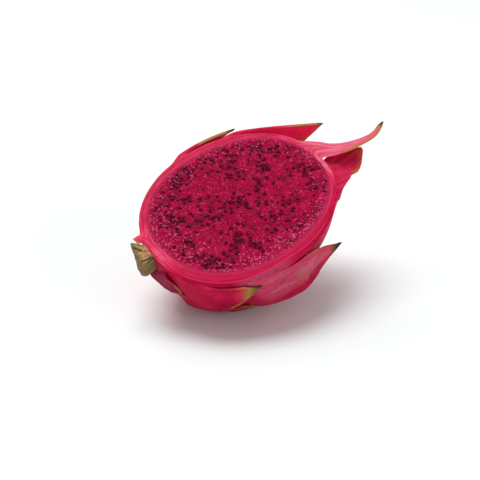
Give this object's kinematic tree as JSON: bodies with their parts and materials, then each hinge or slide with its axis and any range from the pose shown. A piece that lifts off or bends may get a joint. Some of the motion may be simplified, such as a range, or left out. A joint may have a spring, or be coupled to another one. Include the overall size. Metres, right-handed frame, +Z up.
{
  "type": "halved dragon fruit",
  "caption": "Half of a red-fleshed dragon fruit, cut lengthwise, with leaf-like peel bracts and a short stem stub, lying on its round back.",
  "frame": {"origin": "on the surface that the half fruit rests on, under the middle of its box", "axes": "+Z up; -Y is the front, which the tipped cut face looks towards; +X is the side where the crown's long bracts point"},
  "size_m": [0.1402, 0.1124, 0.0828],
  "materials": {
    "peel": "waxy crimson peel with green-tinged, dry-tipped bracts",
    "flesh": "wet cut flesh, deep crimson with small black seeds",
    "stem": "dry olive-brown cut stem"
  },
  "bodies": {
    "root": {"peel": "peel", "flesh": "flesh", "stem_stub": "stem"}
  },
  "joints": []
}
